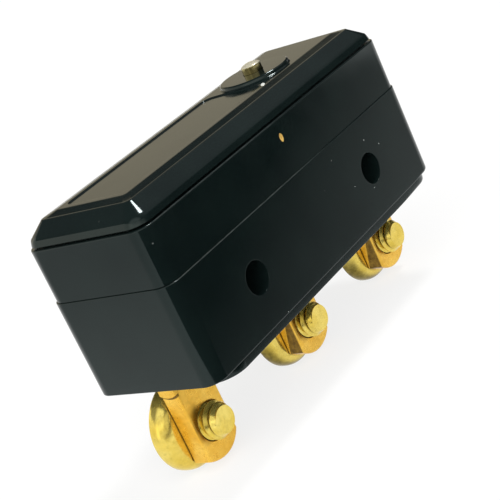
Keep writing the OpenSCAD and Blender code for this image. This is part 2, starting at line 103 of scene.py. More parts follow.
# The same for the boss's foot, its brim and the mouth of its bore: distance outwards, and height
BOSS_FOOT = ((0.17, 0.0), (0.14, 0.015), (0.02, 0.1), (0.0, 0.13))
BOSS_BRIM = ((0.0, -0.16), (-0.02, -0.125), (-0.16, -0.02), (-0.2, 0.0))
BORE_MOUTH = ((0.1, 0.0), (0.02, -0.03), (0.0, -0.1))

# Plunger pin
PLUNGER_X, PLUNGER_R, PLUNGER_FOOT, PLUNGER_SIDE, PLUNGER_TOP = 10.9, 1.2, 9.57, 16.05, 16.4
# Its rim: distance in and height over the side's end, then distance in and depth under the dome
PIN_SIDE_ROUND = ((0.0, -0.1), (0.012, -0.035))
PIN_DOME_ROUND = ((0.05, 0.014), (0.11, 0.0))
# Shares of the radius at which the dome has a ring
DOME_SHARES = (0.8, 0.65, 0.5, 0.35, 0.2, 0.1, 0)

# Terminals
TERMINALS = {"common": -20.2, "normally_open": 0.2, "normally_closed": 20.2}
SCREW_Z, PLATE_T, PLATE_HALF, PLATE_END_R = -12.1, 2.25, 2.85, 4.0
PLATE_FRONT_R, PLATE_BACK_R, PLATE_HOLE_EDGE = 0.26, 0.1, 0.12
STEM_HALF, ARM_EASE, COMMON_ARM_T, CLOSED_ARM_T = 1.9, 0.25, 1.8, 1.6
# How much lower the common plate's end and its outer corner lie than the other plates'
END_DROP, CORNER_DROP = 0.3, 0.6
# Half-moon shoulders pressed out of the plates: stand, height, bow of the half moon, and depths in the plate
STAKE_STAND, STAKE_HEIGHT, STAKE_BOW, STAKE_DEPTH, SIDE_STAKE_DEPTH = 0.25, 0.4, 0.3, 0.5, 0.6
# Tops of the stakes: just under the foot, or beside the foot and just under the base's step
STAKE_TOP, SIDE_STAKE_TOP = FOOT_Z - 0.02, STEP_Z - 0.01
# Rounding of a stake's face: distance back from it, and inwards
STAKE_ROUND = ((0.06, 0.0), (0.018, 0.018), (0.0, 0.06))
# Half moon: half width, radius and height of its middle
STAKE_HALF = PLATE_T / 2 - 0.01
STAKE_R = (STAKE_HALF * STAKE_HALF + STAKE_BOW * STAKE_BOW) / (2 * STAKE_BOW)
STAKE_Z = FOOT_Z - STAKE_HEIGHT - STAKE_BOW + STAKE_R

# Cup washers
CUP_R, CUP_T, CUP_BEND, CUP_HEIGHT, CUP_HOLE, CUP_HOLE_EDGE = 5.15, 0.6, 1.65, 2.15, 2.3, 0.06
# Rounding of their rims: distance in from the wall's face, and down from the rim
CUP_RIM = ((0.0, 0.2), (0.06, 0.06), (0.2, 0.0))

# Screws
SCREW_STEPS = 56
SCREW_R, SCREW_PITCH, SCREW_TIP_Y, HEAD_SEAT_Y = 2.1, 0.794, -2.995, 1.755
SCREW_TAPER, SCREW_TAPER_LENGTH, THREAD_DEPTH = 0.6, 1.05, 0.6
TIP_R, SEAT_R = SCREW_R - SCREW_TAPER, SCREW_R - 0.1
# Thread over one pitch: end of the crest, start and end of the root, and all places that have a ring
CREST_END, ROOT_START, ROOT_END = 0.08, 0.515, 0.565
THREAD_STOPS = (0.0, 0.04, CREST_END, 0.3, ROOT_START, 0.54, ROOT_END, 0.78)
# Slopes at which the root fills up towards tip and head, and at which the crest runs out under the head
FILL_SLOPE, RUN_OUT_SLOPE = 0.9, 0.8
# Turning marks on the tip: width of its smooth edge, number of rings, and height
TIP_EDGE, TIP_RINGS, TIP_MARK = 0.08, 12, 0.007
HEAD_R, HEAD_HEIGHT, HEAD_EDGE_R, HEAD_CHAMFER = 3.5, 2.0, 0.8, 0.1
# Crown of the head: drop at its round edge, then shares of the flat's radius with depth under the top
HEAD_DROP, HEAD_CROWN = 0.06, ((0.6, 0.02), (0.25, 0.0))
SLOT_WIDTH, SLOT_DEPTH, SLOT_REACH = 0.95, 1.0, 1.4 * HEAD_R
SLOT_TURN = {"common": 20, "normally_open": -35, "normally_closed": 65}

# Marks on the case's front: where the front begins, and over which depth they fade in
FRONT_Y, FRONT_FADE = -8.5, 0.3
# Dab of paint on the upper housing
PAINT_X, PAINT_Z, PAINT_HALF_X, PAINT_HALF_Z = 0.23, 10.0, 0.3, 0.5
# Painted highlights along two edges of the front, where the rounded edges catch the light: height from and
# to, place along the case where the highlight starts and is full, depth of the tone
EDGE_HIGHLIGHTS = ((5.74, 5.83, 9.0, -4.0, 0.16), (11.90, 11.99, 6.0, -6.0, 0.09))
# Specks of dust: place along the case, height, radius
SPECKS = ((13.6, 3.2, 0.11), (16.06, 1.57, 0.11), (8.55, -0.31, 0.07), (11.9, -2.16, 0.08),
          (-23.54, 10.17, 0.1), (-10.6, -5.4, 0.07))
# Painted glint of white on the cover's panel, standing in for a reflection of the lamp near the boss: place,
# direction of its length in degrees, half length and half width
GLINT_X, GLINT_Y, GLINT_TURN, GLINT_LONG, GLINT_WIDE = 5.96, -4.54, 39.0, 0.8, 0.25

# Painted shade on the brass, for shadows and dark reflections, in pairs of places where it starts and is
# full; it repeats from terminal to terminal
WAY_PITCH = 20.2
# Along the case, from the common terminal to the two that lie under the case
SHADE_X = (-12.0, -8.0)
# Lower rims of the washers: radius, and height over the screw
RIM_SHADE_R, RIM_SHADE_Z = (4.25, 4.95), (0.5, -1.5)
# Cut edges of the plates, painted dark as shade for the dark surroundings they mirror: side, depth, and a
# slanted upper end
EDGE_SHADE_X, EDGE_SHADE_Y, EDGE_SHADE_END, EDGE_SLANT = (-2.5, -2.6), (-0.95, -0.8), (-3.0, -3.15), 0.27
# Painted shadow and reflection of each screw on its plate, beside the screw's tip: middle, radius, side,
# front and strength
SCREW_SHADOW_X, SCREW_SHADOW_Z, SCREW_SHADOW_R = -0.6, SCREW_Z + 0.5, (2.9, 1.9)
SCREW_SHADOW_SIDE, SCREW_SHADOW_FRONT, SCREW_SHADOW_STRENGTH = (-0.9, -1.6), (-1.0, -1.1), 0.75
# Dark line under each stake: distances from its half moon's middle, and least distance from the plate's
# middle
UNDER_STAKE_START, UNDER_STAKE_END = (STAKE_R - 0.02, STAKE_R), (STAKE_R + 0.32, STAKE_R + 0.24)
UNDER_STAKE_X = PLATE_HALF - 0.25
# Change from the pin's side to its tip
PIN_TIP = (PLUNGER_SIDE - 0.06, PLUNGER_SIDE + 0.02)
BUMP_DEPTH = 0.05

# Mesh
CORNER_STEPS = 14
# Width of the rim in which a flat face's shading runs over into its rounded edge
RIM = 0.05
# Radius of the small ring that closes a turned piece on its axis
ON_AXIS = 1e-5

# Stage: distances of floor and painted shade sheets below the object, and half the floor's width
FLOOR_DROP, SHADE_SHEET_DROP, FLOOR_REACH = 0.05, 0.03, 4000
# Share of plain white in the floor that the eye and the gloss see, which softens the object's shadow there
FLOOR_WHITE = 0.8
# Outlines of two sheets on the floor that only gloss sees; their tones are painted shade in reflections
FRONT_SHADE_SHEET = ((130, -27), (-69, -27), (-150, -62), (-150, -150), (130, -150))
SIDE_SHADE_SHEET = ((-46, -17), (-46, 110), (-150, 110), (-150, -61))


# Mesh helpers
class Shell:
    """A mesh built from rings of points that are bridged and capped."""

    def __init__(self):
        self.bm = bmesh.new()

    def ring(self, points):
        return [self.bm.verts.new(Vector(p) * MM) for p in points]

    def bridge(self, a, b, skip=()):
        n = len(a)
        for i in range(n):
            if i not in skip:
                j = (i + 1) % n
                self.bm.faces.new((a[i], a[j], b[j], b[i]))

    def loft(self, rings):
        """Bridge rings, given as points or as rings already made, and return them made."""
        made = [r if isinstance(r[0], bmesh.types.BMVert) else self.ring(r) for r in rings]
        for a, b in zip(made, made[1:]):
            self.bridge(a, b)
        return made

    def cap(self, *loops):
        """Fill a flat face that has the first loop as its outline and the others as holes."""
        edges = []
        for loop in loops:
            for a, b in zip(loop, loop[1:] + loop[:1]):
                edges.append(self.bm.edges.get((a, b)) or self.bm.edges.new((a, b)))
        filled = bmesh.ops.triangle_fill(self.bm, edges=edges, use_beauty=True, use_dissolve=False)
        faces = [item for item in filled["geom"] if isinstance(item, bmesh.types.BMFace)]
        bmesh.ops.recalc_face_normals(self.bm, faces=faces)
        bmesh.ops.inset_region(self.bm, faces=faces, thickness=RIM * MM,
                               use_boundary=True, use_even_offset=True)

    def build(self, name, sharp=35, merge=0.0):
        if merge:
            bmesh.ops.remove_doubles(self.bm, verts=self.bm.verts, dist=merge * MM)
            bmesh.ops.dissolve_degenerate(self.bm, edges=self.bm.edges, dist=merge * MM)
        bmesh.ops.recalc_face_normals(self.bm, faces=self.bm.faces)
        mesh = bpy.data.meshes.new(name)
        self.bm.to_mesh(mesh)
        self.bm.free()
        return finish_mesh(name, mesh, sharp)


def finish_mesh(name, mesh, sharp):
    """Object with smooth shading that breaks at edges over an angle in degrees."""
    mesh.shade_smooth()
    mesh.set_sharp_from_angle(angle=math.radians(sharp))
    obj = bpy.data.objects.new(name, mesh)
    bpy.context.scene.collection.objects.link(obj)
    weigh = obj.modifiers.new("weighted normals", "WEIGHTED_NORMAL")
    weigh.keep_sharp = True
    weigh.weight = 60
    return obj


def combine(obj, tool, how):
    """The object less the tool or joined with it, as a new plain mesh."""
    obj.modifiers.clear()
    tool.modifiers.clear()
    join = obj.modifiers.new("combine", "BOOLEAN")
    join.operation = how
    join.solver = "EXACT"
    join.object = tool
    bpy.context.view_layer.update()
    mesh = bpy.data.meshes.new_from_object(obj.evaluated_get(bpy.context.evaluated_depsgraph_get()))
    name = obj.name
    bpy.data.objects.remove(obj)
    bpy.data.objects.remove(tool)
    mesh.name = name
    return finish_mesh(name, mesh, sharp=32)


def rect_ring(half_x, half_y, r, z, x=0.0, stations=()):
    """Rounded rectangle at one height, counter-clockwise from +X, with extra points along its long sides."""
    points = []
    along = {0: [(p, half_y, z) for p in reversed(stations)], 2: [(p, -half_y, z) for p in stations]}
    for k, (sx, sy) in enumerate(((1, 1), (-1, 1), (-1, -1), (1, -1))):
        for i in range(CORNER_STEPS + 1):
            a = math.radians(90 * k + 90 * i / CORNER_STEPS)
            points.append((x + sx * (half_x - r) + r * math.cos(a), sy * (half_y - r) + r * math.sin(a), z))
        points += along.get(k, [])
    return points


def rounded_edge(half_x, half_y, r, z, rows, x=0.0):
    """Rings that round one edge of a rounded rectangle."""
    return [rect_ring(half_x - d, half_y - d, r - less, z + up, x) for d, less, up in rows]


def cavity_ring(wall, z, stations=()):
    """The case's cavity, wider by a wall, at one height."""
    return rect_ring(CAVITY_X + wall, CAVITY_Y + wall, CAVITY_R + wall, z, 0.0, stations)


def circle_z(x, r, z, steps=64):
    return [(x + r * math.cos(2 * math.pi * i / steps), r * math.sin(2 * math.pi * i / steps), z)
            for i in range(steps)]


def circle_y(x, z, r, y, steps=56):
    return [(x + r * math.cos(2 * math.pi * i / steps), y, z + r * math.sin(2 * math.pi * i / steps))
            for i in range(steps)]


def box_ring(x0, x1, half_y, z):
    return [(x1, half_y, z), (x0, half_y, z), (x0, -half_y, z), (x1, -half_y, z)]


def arc_points(cx, cy, r, a0, a1, steps=10):
    """Points of an arc between two angles in degrees."""
    angles = [math.radians(a0 + (a1 - a0) * i / steps) for i in range(steps + 1)]
    return [(cx + r * math.cos(a), cy + r * math.sin(a)) for a in angles]


def quarter(steps=4):
    """Fractions of a quarter round: sideways and upwards shares from 0 to 1."""
    angles = [math.pi / 2 * i / steps for i in range(steps + 1)]
    return [(1 - math.cos(a), math.sin(a)) for a in angles]


def eased(x, least, most, start, end):
    """Rounding at a place along the case, growing from least to most between two places."""
    t = min(max((x - start) / (end - start), 0), 1)
    return least + (most - least) * t * t * (3 - 2 * t)


def wall_rings(half_x, half_y, r, z0, z1, ease, brim_r, x=0.0, stations=()):
    """Rings of an upright wall's rounded lower and upper edge; the lower one's rounding may grow along X."""
    outer = rect_ring(half_x, half_y, r, z0, x, stations)
    inner = rect_ring(half_x - 1, half_y - 1, r - 1, z0, x, stations)
    low, high = [], []
    for side, up in quarter():
        ring = []
        for p, q in zip(outer, inner):
            depth = eased(p[0], *ease)
            inwards = depth * (1 - up)
            ring.append((p[0] + (q[0] - p[0]) * inwards, p[1] + (q[1] - p[1]) * inwards, z0 + depth * side))
        low.append(ring)
        d = brim_r * side
        high.append(rect_ring(half_x - d, half_y - d, r - d, z1 - brim_r * (1 - up), x, stations))
    return low, high


def spun(name, profile, x, axis="z", steps=72):
    """Solid of revolution from (radius, height) points, from axis to axis or closed on themselves."""
    s = Shell()
    rings = []
    for r, h in profile:
        r = max(r, ON_AXIS)
        rings.append(circle_z(x, r, h, steps) if axis == "z" else circle_y(x, SCREW_Z, r, h, steps))
    rings = s.loft(rings)
    if profile[0][0] > 0:
        s.bridge(rings[-1], rings[0])
    return s.build(name, merge=0.0005)


def offset_outline(points, d):
    """Closed outline, counter-clockwise, moved inwards by d along its mitres."""
    out = []
    n = len(points)
    for i in range(n):
        p, a, b = Vector(points[i]), Vector(points[i - 1]), Vector(points[(i + 1) % n])
        u, v = (p - a).normalized(), (b - p).normalized()
        nu, nv = Vector((-u.y, u.x)), Vector((-v.y, v.x))
        m = nu + nv
        m = m / max(m.dot(nu), 0.3)
        out.append(tuple(p + m * d))
    return out


# Case mouldings
def bored_sides(s, low, high):
    """Wall between two rings: its long sides are filled round the mounting holes, the rest is bridged."""
    n = len(STATIONS)
    back, front = CORNER_STEPS, 3 * CORNER_STEPS + 2 + n
    s.bridge(low, high, skip=[i + k for i in (back, front) for k in range(n + 1)])
    mouths = {}
    for side, i in ((1, back), (-1, front)):
        loops = [low[i:i + n + 2] + high[i:i + n + 2][::-1]]
        for x in (-HOLE_X, HOLE_X):
            mouth = []
            for out, deep in quarter(3):
                r = HOLE_R + HOLE_EDGE * (1 - deep)
                mouth.append(circle_y(x, 0, r, side * (HALF_Y - HOLE_EDGE * out)))
            mouth = s.loft(mouth)
            loops.append(mouth[0])
            mouths[side, x] = mouth[-1]
        s.cap(*loops)
    for x in (-HOLE_X, HOLE_X):
        s.bridge(mouths[1, x], mouths[-1, x])


def base_housing():
    """Base with foot, mounting holes, tongue and cavity, slots for the terminals and the anchor's groove."""
    s = Shell()
    low, high = wall_rings(FOOT_HALF_X, FOOT_HALF_Y, FOOT_R, FOOT_Z, STEP_Z, FOOT_EASE, FOOT_BRIM_R,
                           FOOT_X, STATIONS)
    foot = s.loft(low + high[:1])
    low, high = wall_rings(HALF_X, HALF_Y, CORNER_R, STEP_Z, JOINT_Z, BASE_EASE, BASE_BRIM_R, 0.0, STATIONS)
    low = s.loft([foot[-1]] + low)
    high = s.loft(high)
    bored_sides(s, low[-1], high[0])
    tongue_z = JOINT_Z + TONGUE_HEIGHT
    inside = ((TONGUE_WALL, JOINT_Z), (TONGUE_WALL, tongue_z), (0.0, tongue_z), (0.0, CAVITY_Z))
    cavity = s.loft([high[-1]] + [cavity_ring(wall, z, STATIONS) for wall, z in inside])
    floor_loops, foot_loops = [cavity[-1]], [foot[0]]
    half_x, half_y = STEM_HALF + FIT, PLATE_T / 2 + FIT
    for x in TERMINALS.values():
        slot = s.loft([box_ring(x - half_x, x + half_x, half_y, z) for z in (CAVITY_Z, FOOT_Z)])
        floor_loops.append(slot[0])
        foot_loops.append(slot[1])
    groove = s.loft([box_ring(ANCHOR_X - ANCHOR_T - FIT, ANCHOR_X + FIT, ANCHOR_HALF_Y + FIT, z)
                     for z in (CAVITY_Z, CAVITY_Z - ANCHOR_DEPTH)])
    s.cap(groove[1])
    s.cap(*floor_loops, groove[0])
    s.cap(*foot_loops)
    return s.build("base_moulding")


def upper_housing():
    """Four walls between base and cover, with a rebate that takes the base's tongue."""
    s = Shell()
    low, high = wall_rings(HALF_X - UPPER_INSET, HALF_Y - UPPER_INSET, CORNER_R, JOINT_Z, UPPER_Z,
                           UPPER_EASE, UPPER_BRIM_R)
    rebate, rebate_z = TONGUE_WALL + FIT, JOINT_Z + TONGUE_HEIGHT + FIT
    inside = ((0.0, UPPER_Z), (0.0, rebate_z), (rebate, rebate_z), (rebate, JOINT_Z))
    rings = s.loft(low + high + [cavity_ring(wall, z) for wall, z in inside])
    s.bridge(rings[-1], rings[0])
    return s.build("upper_moulding")


def cover_rings():
    """Rings of the cover from its pocket round the spigot, neck, lip, slope and ledge up to the panel."""
    pocket_x, pocket_y = CAVITY_X - SPIGOT_WALL, CAVITY_Y - SPIGOT_WALL
    spigot_x, spigot_y = CAVITY_X - FIT, CAVITY_Y - FIT
    neck_x, neck_y = LIP_X - NECK_INSET, LIP_Y - NECK_INSET
    rings = [rect_ring(pocket_x, pocket_y, CAVITY_R, z) for z in (POCKET_Z, SPIGOT_Z)]
    rings += [rect_ring(spigot_x, spigot_y, CAVITY_R, z) for z in (SPIGOT_Z, UPPER_Z)]
    rings += [rect_ring(neck_x, neck_y, CORNER_R, z) for z in (UPPER_Z, LIP_Z)]
    rings += rounded_edge(LIP_X, LIP_Y, CORNER_R, LIP_Z, LIP_ROUND)
    rings += rounded_edge(LIP_X, LIP_Y, CORNER_R, SLOPE_Z, SLOPE_ROUND)
    for t in SLOPE_SHARES:
        r, z = CORNER_R + (LEDGE_R - CORNER_R) * t, SLOPE_Z + (LEDGE_Z - SLOPE_Z) * t
        rings.append(rect_ring(LIP_X - SLOPE_RUN * t, LIP_Y - SLOPE_RUN * t, r, z))
    x, y = LIP_X - SLOPE_RUN, LIP_Y - SLOPE_RUN
    rings += rounded_edge(x, y, LEDGE_R, LEDGE_Z, LEDGE_ROUND)
    x, y = x - LEDGE_WIDTH, y - LEDGE_WIDTH
    rings += rounded_edge(x, y, LEDGE_R, LEDGE_Z, BEVEL_ROUND)
    x, y = x - PANEL_BEVEL, y - PANEL_BEVEL
    return rings + rounded_edge(x, y, PANEL_R, PANEL_Z, PANEL_ROUND)


def boss_rings():
    """Rings of the plunger's boss from its foot over the brim and down the bore to the guide's end."""
    bore = PLUNGER_R + RUN_GAP
    profile = [(BOSS_R + out, PANEL_Z + up) for out, up in BOSS_FOOT]
    profile += [(BOSS_R + out, BOSS_Z + up) for out, up in BOSS_BRIM]
    profile += [(bore + out, BOSS_Z + up) for out, up in BORE_MOUTH]
    profile += [(bore, GUIDE_Z), (GUIDE_R, GUIDE_Z), (GUIDE_R, POCKET_Z)]
    return [circle_z(PLUNGER_X, r, z) for r, z in profile]


def top_cover():
    """Cover with lip, slope, ledge and bevelled panel; the panel has a sunk field and the plunger's boss."""
    s = Shell()
    rings = s.loft(cover_rings())
    edge = SLOPE_RUN + LEDGE_WIDTH + PANEL_BEVEL + FIELD_MARGIN
    start_x, half_y = edge - LIP_X, LIP_Y - edge
    half_x, middle_x = (FIELD_END_X - start_x) / 2, (FIELD_END_X + start_x) / 2
    field = s.loft(rounded_edge(half_x, half_y, FIELD_R, PANEL_Z, FIELD_ROUND, middle_x))
    s.cap(field[-1])
    boss = s.loft(boss_rings())
    s.cap(rings[-1], field[0], boss[0])
    s.cap(rings[0], boss[-1])
    return s.build("cover_moulding", sharp=40)


# Metal pieces
def plunger_pin():
    """Turned pin with a domed tip whose rim is a little rounded."""
    r, rise = PLUNGER_R, PLUNGER_TOP - PLUNGER_SIDE
    dome_r = (r * r + rise * rise) / (2 * rise)

    def dome(d):
        return math.sqrt(dome_r * dome_r - d * d) + PLUNGER_TOP - dome_r

    profile = [(0, PLUNGER_FOOT), (r, PLUNGER_FOOT)]
    profile += [(r - d, PLUNGER_SIDE + up) for d, up in PIN_SIDE_ROUND]
    profile += [(r - d, dome(r - d) - under) for d, under in PIN_DOME_ROUND]
    profile += [(r * share, dome(r * share)) for share in DOME_SHARES]
    return spun("pin_turned", profile, PLUNGER_X)


def terminal(name, x, outline):
    """Stamped plate across Y with rounded edges and a hole for its screw."""
    s = Shell()
    half_t = PLATE_T / 2
    rings = []
    for side, up in quarter(3):
        ring = offset_outline(outline, PLATE_FRONT_R * (1 - up))
        rings.append([(p[0], -half_t + PLATE_FRONT_R * side, p[1]) for p in ring])
    for side, up in quarter(3):
        ring = offset_outline(outline, PLATE_BACK_R * side)
        rings.append([(p[0], half_t - PLATE_BACK_R * (1 - up), p[1]) for p in ring])
    rings = s.loft(rings)
    bore, edge = SCREW_R + RUN_GAP, PLATE_HOLE_EDGE
    bored = ((bore + edge, -half_t), (bore, -half_t + edge), (bore, half_t - edge), (bore + edge, half_t))
    hole = s.loft([circle_y(x, SCREW_Z, r, y) for r, y in bored])
    s.cap(rings[0], hole[0])
    s.cap(rings[-1], hole[-1])
    return s.build(name)


def bowed(rise):
    """Radius and half angle of an arc that rises by this much from a plate's middle to its edge."""
    r = (PLATE_HALF * PLATE_HALF + rise * rise) / (2 * rise)
    return r, math.degrees(math.asin(PLATE_HALF / r))


def plate_outline(x, upper, drop=0.0, corner=0.0):
    """Outline of a terminal in X and Z: bowed end, shoulders under the foot, and the part in the case."""
    rise = PLATE_END_R - math.sqrt(PLATE_END_R * PLATE_END_R - PLATE_HALF * PLATE_HALF)
    low = SCREW_Z - PLATE_END_R - drop
    near_r, near_half = bowed(rise + drop - corner)
    far_r, far_half = bowed(rise + drop)
    outline = arc_points(x, low + near_r, near_r, 270 - near_half, 270)
    outline += arc_points(x, low + far_r, far_r, 270, 270 + far_half)[1:]
    outline += [(x + PLATE_HALF, FOOT_Z), (x + STEM_HALF, FOOT_Z)]
    outline += upper
    outline += [(x - STEM_HALF, FOOT_Z), (x - PLATE_HALF, FOOT_Z)]
    return outline


def staked(plate, x, side, top=STAKE_TOP, depth=STAKE_DEPTH):
    """The plate with a half-moon shoulder pressed out of one of its edges."""
    s = Shell()
    swing = math.degrees(math.asin(STAKE_HALF / STAKE_R))

    def section(out, shrink):
        rim = STAKE_HALF - shrink
        arc = arc_points(0, STAKE_Z, STAKE_R - shrink, 270 - swing, 270 + swing)
        points = [(max(-rim, min(rim, y)), z) for y, z in arc] + [(rim, top), (-rim, top)]
        return [(x + side * (PLATE_HALF + out), y, z) for y, z in points]

    sections = [section(-depth, 0)]
    sections += [section(STAKE_STAND - back, shrink) for back, shrink in STAKE_ROUND]
    rings = s.loft(sections)
    s.cap(rings[0])
    s.cap(rings[-1])
    return combine(plate, s.build(plate.name + "_stake"), "UNION")


def common_plate():
    """Plate with an arm for the blade's root; its outer stake reaches up beside the foot."""
    x = TERMINALS["common"]
    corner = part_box("common_terminal")[1]
    top, reach = corner.z / MM, corner.x / MM
    under = top - COMMON_ARM_T
    arm = [(x + STEM_HALF, under), (reach, under), (reach, top - ARM_EASE), (reach - ARM_EASE, top),
           (x - STEM_HALF, top)]
    plate = terminal("common_plate", x, plate_outline(x, arm, END_DROP, CORNER_DROP))
    plate = staked(plate, x, -1, SIDE_STAKE_TOP, SIDE_STAKE_DEPTH)
    return staked(plate, x, 1)


def normally_open_plate():
    """Plate with a low arm on the cavity's floor for the lower fixed contact."""
    x = TERMINALS["normally_open"]
    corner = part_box("normally_open_terminal")[1]
    top, reach = corner.z / MM, corner.x / MM
    arm = [(x + STEM_HALF, CAVITY_Z), (reach, CAVITY_Z), (reach, top), (x - STEM_HALF, top)]
    plate = terminal("normally_open_plate", x, plate_outline(x, arm))
    return staked(staked(plate, x, -1), x, 1)


def normally_closed_plate():
    """Plate with a high arm, reaching back over the blade, for the upper fixed contact."""
    x = TERMINALS["normally_closed"]
    low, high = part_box("normally_closed_terminal")
    top, reach = high.z / MM, low.x / MM
    under = top - CLOSED_ARM_T
    arm = [(x + STEM_HALF, top), (reach, top), (reach, under), (x - STEM_HALF, under)]
    plate = terminal("normally_closed_plate", x, plate_outline(x, arm))
    return staked(staked(plate, x, -1), x, 1)


def cup_washer(name, x):
    """Washer with a rounded bend and an upright rim."""
    seat = PLATE_T / 2
    rim, inner_r = seat + CUP_HEIGHT, CUP_R - CUP_T
    bend_r, bend_y = CUP_R - CUP_BEND, seat + CUP_BEND
    profile = [(CUP_HOLE + CUP_HOLE_EDGE, seat)]
    profile += arc_points(bend_r, bend_y, CUP_BEND, -90, 0)
    profile += [(CUP_R - d, rim - down) for d, down in CUP_RIM]
    profile += [(inner_r + d, rim - down) for d, down in reversed(CUP_RIM)]
    profile += arc_points(bend_r, bend_y, CUP_BEND - CUP_T, 0, -90)
    profile += [(CUP_HOLE + CUP_HOLE_EDGE, seat + CUP_T), (CUP_HOLE, seat + CUP_T - CUP_HOLE_EDGE),
                (CUP_HOLE, seat + CUP_HOLE_EDGE)]
    return spun(name, profile, x, axis="y", steps=96)


def thread_radius(f):
    """Radius of the thread at a fraction of its pitch: flat crest, sloped flanks, narrow root."""
    flank = ROOT_START - CREST_END
    if f < CREST_END:
        return SCREW_R
    if f < ROOT_START:
        return SCREW_R - THREAD_DEPTH * (f - CREST_END) / flank
    if f < ROOT_END:
        return SCREW_R - THREAD_DEPTH
    return SCREW_R - THREAD_DEPTH * (1 - f) / flank


def thread_rings(x):
    """Rings of the thread, each a full turn that climbs by one pitch, held between the tip and the head."""
    taper = SCREW_TAPER / SCREW_TAPER_LENGTH
    turns = int((HEAD_SEAT_Y - SCREW_TIP_Y) / SCREW_PITCH) + 3
    rings = []
    for whole, f in [(whole, f) for whole in range(-1, turns) for f in THREAD_STOPS]:
        ring = []
        for i in range(SCREW_STEPS):
            a = 2 * math.pi * i / SCREW_STEPS
            y = SCREW_TIP_Y + (whole + f + i / SCREW_STEPS) * SCREW_PITCH
            y = min(max(y, SCREW_TIP_Y), HEAD_SEAT_Y)
            up, down = y - SCREW_TIP_Y, HEAD_SEAT_Y - y
            r = max(thread_radius(f), TIP_R - FILL_SLOPE * up, SEAT_R - FILL_SLOPE * down)
            r = min(r, TIP_R + taper * up, SEAT_R + RUN_OUT_SLOPE * down)
            ring.append((x + r * math.cos(a), y, SCREW_Z - r * math.sin(a)))
        rings.append(ring)
    return rings


def slot_cutter(name, x, top, turn):
    """Block that cuts the driver slot into a screw's head, turned about the screw's axis."""
    s = Shell()
    w, reach = SLOT_WIDTH / 2, SLOT_REACH
    ends = s.loft([[(-reach, y, -w), (reach, y, -w), (reach, y, w), (-reach, y, w)]
                   for y in (0, 2 * SLOT_DEPTH)])
    for end in ends:
        s.bm.faces.new(end)
    tool = s.build(name)
    seat = Matrix.Translation(Vector((x, top - SLOT_DEPTH, SCREW_Z)) * MM)
    tool.data.transform(seat @ Matrix.Rotation(math.radians(turn), 4, "Y"))
    return tool


def terminal_screw(name, x, turn):
    """Screw with a rolled right-hand thread, a turned tip, a pan head and a driver slot."""
    s = Shell()
    rings = [s.ring(points) for points in thread_rings(x)]
    for a, b in zip(rings, rings[1:]):
        s.bridge(a, b, skip=[SCREW_STEPS - 1])
    # Each ring's last column meets the first column one pitch further on.
    n = len(THREAD_STOPS)
    for k in range(len(rings) - n - 1):
        s.bm.faces.new((rings[k][-1], rings[k + n][0], rings[k + n + 1][0], rings[k + 1][-1]))
    tip = [(TIP_R, SCREW_TIP_Y), (TIP_R - TIP_EDGE, SCREW_TIP_Y)]
    tip += [(TIP_R * k / TIP_RINGS, SCREW_TIP_Y + TIP_MARK * (k % 2)) for k in range(TIP_RINGS - 1, 0, -1)]
    tip.append((ON_AXIS, SCREW_TIP_Y))
    top, flat_r = HEAD_SEAT_Y + HEAD_HEIGHT, HEAD_R - HEAD_EDGE_R
    head = [(SEAT_R, HEAD_SEAT_Y), (HEAD_R - HEAD_CHAMFER, HEAD_SEAT_Y)]
    head.append((HEAD_R, HEAD_SEAT_Y + HEAD_CHAMFER))
    head += arc_points(flat_r, top - HEAD_EDGE_R - HEAD_DROP, HEAD_EDGE_R, 0, 84, steps=6)
    head += [(flat_r * share, top - down) for share, down in HEAD_CROWN]
    head.append((ON_AXIS, top))
    angles = [2 * math.pi * i / SCREW_STEPS for i in range(SCREW_STEPS)]
    for profile in (tip, head):
        s.loft([[(x + r * math.cos(a), y, SCREW_Z - r * math.sin(a)) for a in angles] for r, y in profile])
    screw = s.build(name, sharp=32, merge=0.002)
    return combine(screw, slot_cutter(name + "_slot", x, top, turn), "DIFFERENCE")


